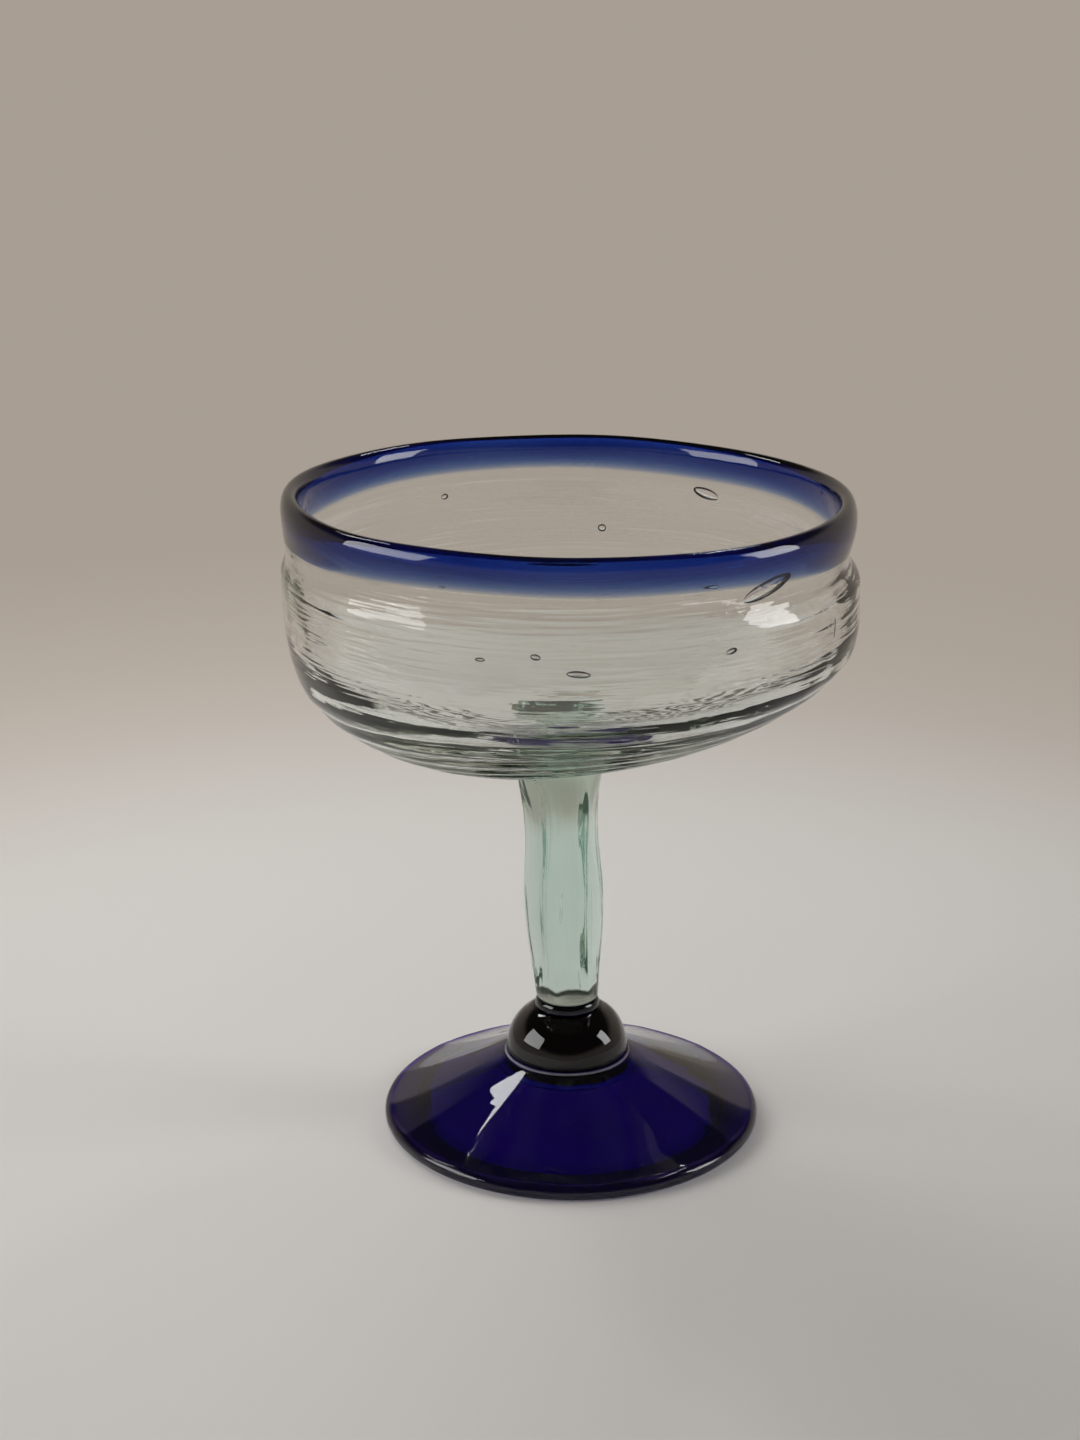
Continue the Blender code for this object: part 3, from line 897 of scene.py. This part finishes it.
def painted_joint_highlight():
    """Painted highlight in the joint round the knop: a matt grey thread, pale in some patches and darker in
    others.
    """
    material = bpy.data.materials.new("lime scale, dried")
    tree = empty_tree(material)
    place = add_node(tree, "TexCoord")
    patches = add_node(tree, "TexNoise", {"Scale": per_metre(JOINT_GLINT_PATCH_MM), "Detail": 3.0},
                       {"Vector": (place, "Object")})
    tone = add_node(tree, "Mix",
                    {"data_type": "RGBA", MIX_A: (*linear(JOINT_GLINT_DARK), 1.0),
                     MIX_B: (*linear(JOINT_GLINT_PALE), 1.0)},
                    {0: (patches, 0)})
    joint_paint = add_node(tree, "BsdfPrincipled", {"Roughness": 0.7}, {"Base Color": (tone, MIXED)})
    add_node(tree, "OutputMaterial", None, {"Surface": (joint_paint, "BSDF")})
    return material


def foot_top(sizes, radius):
    """Height of the foot's upper face at a radius."""
    reach = sizes.foot_radius - sizes.foot_edge_width - sizes.foot_neck_radius
    share = np.clip((radius - sizes.foot_neck_radius) / reach, 0.0, 1.0)
    fall = (sizes.foot_height - sizes.foot_edge_height) * (1.0 - share) ** FOOT_SWEEP
    return sizes.foot_edge_height + fall


class COUPE_OT_foot(bpy.types.Operator):
    """Spin out the hollow cobalt foot, with its pressing creases"""

    bl_idname = "coupe.foot"
    bl_label = "Foot"

    def execute(self, context):
        sizes = context.scene.coupe_sizes
        edge = sizes.foot_radius - sizes.foot_edge_width
        ring = edge - sizes.rest_ring_width
        half = sizes.foot_edge_height / 2.0
        neck = sizes.foot_neck_radius
        top = sizes.knop_level - sizes.seam
        roll = sizes.joint_roll
        roll_centre = (sizes.knop_radius - sizes.knop_tuck + 2.0 * roll, top - roll / 2.0)
        profile = on_skin(flat_end(neck, top) + [(roll_centre[0] - 1.4 * roll, top)], OUTSIDE)
        # The roll of glass in the joint takes a painted highlight, the foot's second material
        profile += on_skin(arc(roll_centre, (roll, roll), 150.0, 0.0, 8), CREVICE)
        cone = np.linspace(roll_centre[0] + 2.0 * roll, edge, 64)
        profile += on_skin([(radius, foot_top(sizes, radius)) for radius in cone], OUTSIDE)
        profile += on_skin(arc((edge, half), (sizes.foot_edge_width, half), 90.0, -90.0, 28)[1:], OUTSIDE)
        profile += on_skin([(radius, 0.0) for radius in np.linspace(edge, ring, 4)[1:]], OUTSIDE)
        for radius in np.linspace(ring - HOLLOW_SLOPE, neck, 24):
            profile.append((float(radius), float(foot_top(sizes, radius) - sizes.foot_wall), INSIDE))
        profile += on_skin(reversed(flat_end(neck, sizes.foot_height - sizes.foot_wall)), INSIDE)

        def skin_waves(radius, height, angle, skin):
            on_cone = eased(radius, neck, neck + FOOT_NECK_SPAN)
            on_cone = on_cone * (1.0 - eased(radius, edge, sizes.foot_radius))
            uneven = angle + CREASE_WANDER.at(angle, radius)
            facet = FULL_TURN / sizes.foot_facets
            from_flat = (uneven - FOOT_TURN) % facet / facet * 2.0 - 1.0
            pressed = (from_flat ** 2 - 1.0) * sizes.foot_press * radius / edge
            pressed = pressed * (1.0 + PRESS_DEPTH.at(angle, radius))
            outer = (pressed + FOOT_SKIN.at(angle, radius)) * on_cone * (height > half)
            inside = HOLLOW_SKIN.at(angle, radius) * on_cone
            return np.where(skin == OUTSIDE, outer, np.where(skin == INSIDE, inside, 0.0))

        body = turned(profile, FOOT_STEPS, skin_waves=skin_waves)
        stand_on_stem_line(sizes, body, 0.0)
        colours = context.scene.coupe_colours
        material = blown_glass("cobalt glass, spun", colours.cobalt, colours.cobalt_depth,
                               streak_mm=(9.0, 9.0, 4.0), relief_mm=0.020)
        # The foot's second material is a painted highlight on the roll in its joint
        make_piece("foot", body, [material, painted_joint_highlight()])
        return {"FINISHED"}


# Lamps that light the glass: name of their power setting, size and place in metres, and whether glass mirrors
# them. The light that comes down through the glass is a lamp of its own.
LAMPS = (
    ("key_light", (0.62, 0.48), (-0.84, -0.22, 0.42), True),
    ("fill_light", (0.36, 0.46), (0.90, -0.05, 0.44), True),
    ("back_light", (1.00, 1.00), (-0.55, 0.75, 0.74), False),
    ("glint_left", (0.08, 0.20), (-0.48, 0.38, 0.74), True),
    ("glint_right", (0.07, 0.14), (0.25, 0.52, 0.75), True),
)
UNDER_LIGHT_SIZE = (0.50, 0.50)
UNDER_LIGHT_PLACE = (-0.30, 0.45, 0.95)
LIGHT_AIM = (0.0, 0.0, 0.07)

# Camera that sees the glass as the photograph does, the nearest that it sees, and its frame's long side
CAMERA_PLACE = (0.0, -0.4913, 0.2537)
CAMERA_TILT = math.radians(71.932)
CAMERA_TURN = math.radians(0.816)
CAMERA_NEAR = 0.01
FRAME_MM = 36.0

# How often light may turn, in the glass and between mirrors
GLASS_BOUNCES = 32
MIRROR_BOUNCES = 12

# Distances over which the floor's tone darkens outwards, a painted shade, and over which it fades into the
# wall
FLOOR_TONE = {"interpolation_type": "SMOOTHSTEP", "From Min": 0.13, "From Max": 0.40}
FLOOR_FADE = {"interpolation_type": "SMOOTHSTEP", "From Min": 0.17, "From Max": 0.58}

# Heights between which the wall darkens, on a sphere of radius 1, and how much higher that is at the back
WALL_TOP = {"interpolation_type": "SMOOTHSTEP", "From Min": 0.20, "From Max": 0.42}
WALL_RISE = 0.16


class COUPE_OT_stage(bpy.types.Operator):
    """Set out the floor, the studio light and the camera"""

    bl_idname = "coupe.stage"
    bl_label = "Stage"

    def execute(self, context):
        scene = context.scene
        colours = scene.coupe_colours
        stage = scene.coupe_stage

        floor_mesh = bpy.data.meshes.new("floor")
        disc = bmesh.new()
        bmesh.ops.create_circle(disc, cap_ends=True, cap_tris=False, segments=FLOOR_STEPS,
                                radius=stage.floor_radius)
        disc.to_mesh(floor_mesh)
        disc.free()
        floor = bpy.data.objects.new("floor", floor_mesh)
        scene.collection.objects.link(floor)
        floor.data.materials.append(floor_material(colours))

        scene.world = studio_world(colours)
        for name, size, place, mirrored in LAMPS:
            soft_light(name, getattr(stage, name), size, place, mirrored)
        light_under_glass(floor, stage.under_light)

        lens = bpy.data.cameras.new("camera")
        lens.lens = stage.lens
        lens.sensor_fit = "AUTO"
        lens.sensor_width = FRAME_MM
        lens.clip_start = CAMERA_NEAR
        camera = bpy.data.objects.new("camera", lens)
        scene.collection.objects.link(camera)
        camera.location = CAMERA_PLACE
        camera.rotation_euler = (CAMERA_TILT, 0.0, CAMERA_TURN)
        scene.camera = camera

        scene.view_settings.view_transform = "Standard"
        scene.cycles.max_bounces = GLASS_BOUNCES
        scene.cycles.transmission_bounces = GLASS_BOUNCES
        scene.cycles.glossy_bounces = MIRROR_BOUNCES
        return {"FINISHED"}


def light_under_glass(floor, power):
    """The light that comes down through the glass: it falls on the floor alone, and no piece shades it."""
    light = soft_light("under_light", power, UNDER_LIGHT_SIZE, UNDER_LIGHT_PLACE, False)
    lit = bpy.data.collections.new("lit through the glass")
    lit.objects.link(floor)
    light.light_linking.receiver_collection = lit
    light.light_linking.blocker_collection = lit


def floor_material(colours):
    """Matt painted studio floor: pale, darker further out as painted shade where less light falls, and fading
    into the wall so that no edge shows.
    """
    material = bpy.data.materials.new("matt paint, rolled")
    tree = empty_tree(material)
    place = add_node(tree, "TexCoord")
    out = add_node(tree, "VectorMath", {"operation": "LENGTH"}, {0: (place, "Object")})
    # The floor's colour darkens outwards: painted shade where less light falls
    further = add_node(tree, "MapRange", FLOOR_TONE, {"Value": (out, "Value")})
    tone = add_node(tree, "Mix",
                    {"data_type": "RGBA", MIX_A: (*colours.floor, 1.0), MIX_B: (*colours.far_floor, 1.0)},
                    {0: (further, "Result")})
    fade = add_node(tree, "MapRange", FLOOR_FADE, {"Value": (out, "Value")})
    paint = add_node(tree, "BsdfPrincipled", {"Roughness": 0.9, "Specular IOR Level": 0.2},
                     {"Base Color": (tone, MIXED)})
    far = add_node(tree, "Emission", {"Color": (*colours.horizon, 1.0)})
    mixed = add_node(tree, "MixShader", None, {0: (fade, "Result"), 1: (paint, "BSDF"), 2: (far, "Emission")})
    add_node(tree, "OutputMaterial", None, {"Surface": (mixed, "Shader")})
    return material


def studio_world(colours):
    """Soft studio surround: the wall's tone at the horizon, darker overhead so that the glass has edges."""
    world = bpy.data.worlds.new("studio")
    tree = empty_tree(world)
    place = add_node(tree, "TexCoord")
    parts = add_node(tree, "SeparateXYZ", None, {"Vector": (place, "Generated")})
    higher_behind = add_node(tree, "Math", {"operation": "MULTIPLY_ADD", 1: -WALL_RISE},
                             {0: (parts, "Y"), 2: (parts, "Z")})
    rise = add_node(tree, "MapRange", WALL_TOP, {"Value": (higher_behind, "Value")})
    tone = add_node(tree, "Mix",
                    {"data_type": "RGBA", MIX_A: (*colours.horizon, 1.0), MIX_B: (*colours.overhead, 1.0)},
                    {0: (rise, "Result")})
    sky = add_node(tree, "Background", {"Strength": 1.0}, {"Color": (tone, MIXED)})
    add_node(tree, "OutputWorld", None, {"Surface": (sky, "Background")})
    return world


def soft_light(name, power, size, place, mirrored):
    """A soft light that looks at the glass. The camera doesn't see it, nor does it show through the glass."""
    lamp = bpy.data.lights.new(name, "AREA")
    lamp.energy = power
    lamp.shape = "RECTANGLE"
    lamp.size, lamp.size_y = size
    light = bpy.data.objects.new(name, lamp)
    bpy.context.scene.collection.objects.link(light)
    light.location = place
    aim = Vector(LIGHT_AIM) - Vector(place)
    light.rotation_euler = aim.to_track_quat("-Z", "Y").to_euler()
    light.visible_camera = False
    light.visible_transmission = False
    light.visible_glossy = mirrored
    return light


OPERATORS = (COUPE_OT_foot, COUPE_OT_knop, COUPE_OT_stem_collar, COUPE_OT_stem, COUPE_OT_bowl,
             COUPE_OT_rim_band, COUPE_OT_stage)


class COUPE_PT_panel(bpy.types.Panel):
    """Lists the pieces of the coupe"""

    bl_idname = "COUPE_PT_panel"
    bl_label = "Coupe glass"
    bl_space_type = "VIEW_3D"
    bl_region_type = "UI"
    bl_category = "Coupe"

    def draw(self, context):
        for operator in OPERATORS:
            self.layout.operator(operator.bl_idname)
        for group in (context.scene.coupe_sizes, context.scene.coupe_colours, context.scene.coupe_stage):
            for name in group.__annotations__:
                self.layout.prop(group, name)


CLASSES = (CoupeSizes, CoupeColours, CoupeStage) + OPERATORS + (COUPE_PT_panel,)


def register():
    """Add the classes and their settings to Blender."""
    for kind in CLASSES:
        bpy.utils.register_class(kind)
    bpy.types.Scene.coupe_sizes = PointerProperty(type=CoupeSizes)
    bpy.types.Scene.coupe_colours = PointerProperty(type=CoupeColours)
    bpy.types.Scene.coupe_stage = PointerProperty(type=CoupeStage)


def unregister():
    """Take the settings and the classes out again."""
    del bpy.types.Scene.coupe_stage
    del bpy.types.Scene.coupe_colours
    del bpy.types.Scene.coupe_sizes
    for kind in reversed(CLASSES):
        bpy.utils.unregister_class(kind)


def main():
    """Make the whole glass and its stage."""
    register()
    bpy.ops.coupe.foot()
    bpy.ops.coupe.knop()
    bpy.ops.coupe.stem_collar()
    bpy.ops.coupe.stem()
    bpy.ops.coupe.bowl()
    bpy.ops.coupe.rim_band()
    bpy.ops.coupe.stage()


if __name__ == "__main__":
    main()
